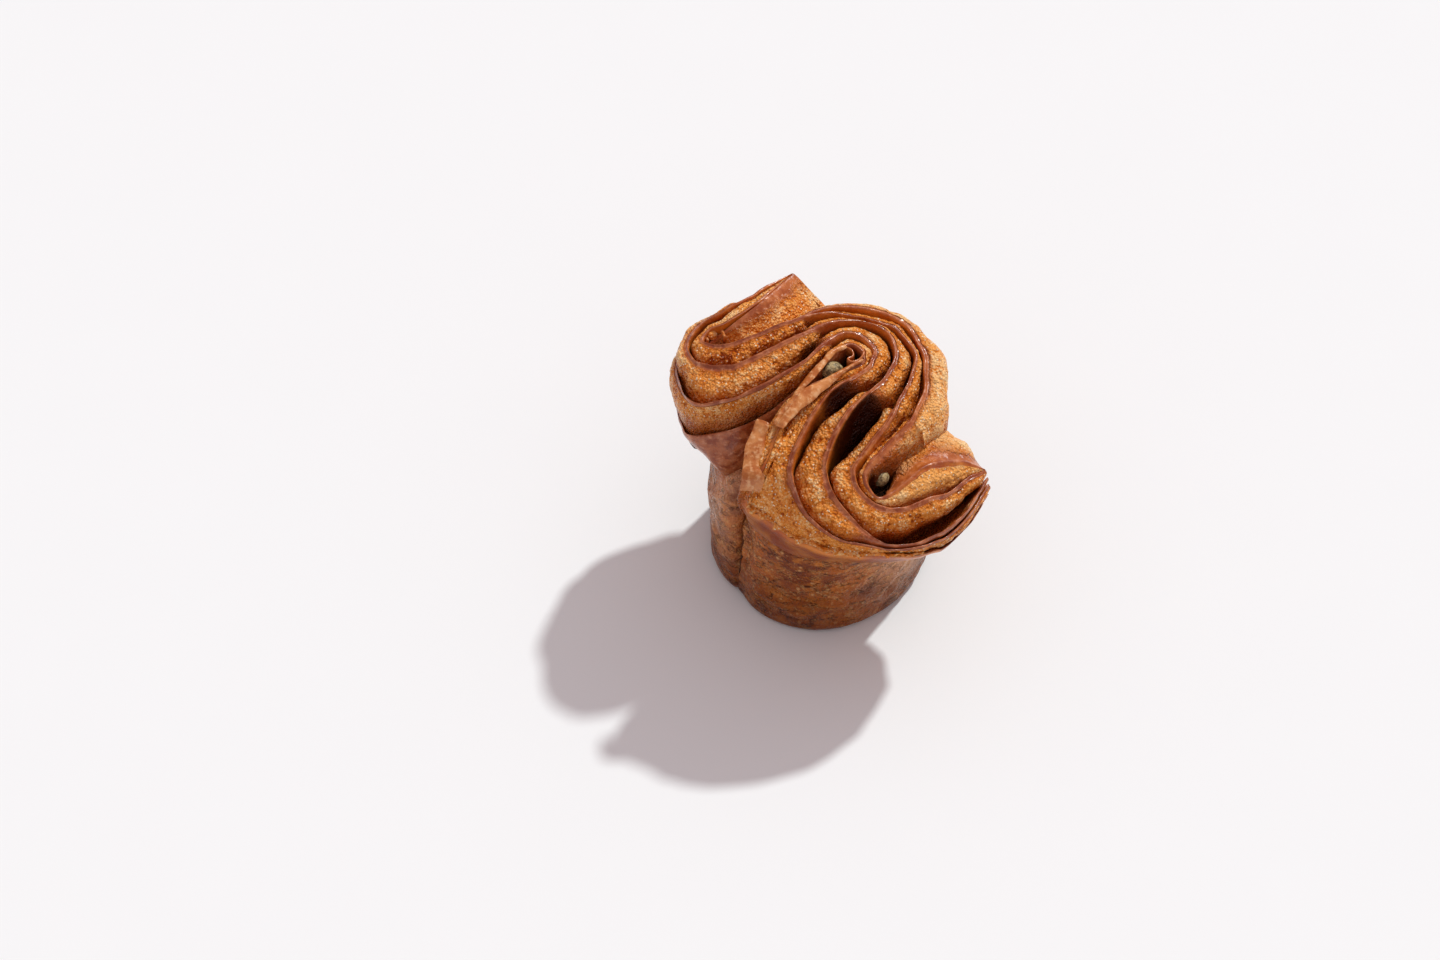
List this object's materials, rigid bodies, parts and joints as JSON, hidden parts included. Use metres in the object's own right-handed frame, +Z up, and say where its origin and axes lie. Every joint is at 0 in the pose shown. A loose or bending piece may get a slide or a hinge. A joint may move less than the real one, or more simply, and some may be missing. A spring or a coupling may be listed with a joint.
{
  "type": "laminated brioche pastry",
  "caption": "Tall laminated brioche: a ribbon of crisp leaves folded back and forth over a round, lobed body with a flat underside",
  "frame": {"origin": "centre of the baked body's round footprint, on the flat underside", "axes": "+Z up out of the underside; the pictured side faces -Y; the crown's back tip points to +Y and its front tip to +X"},
  "size_m": [0.0896, 0.083, 0.084],
  "materials": {
    "crust": "browned laminated crust, part glossy"
  },
  "bodies": {
    "root": {"brioche": "crust"}
  },
  "joints": []
}
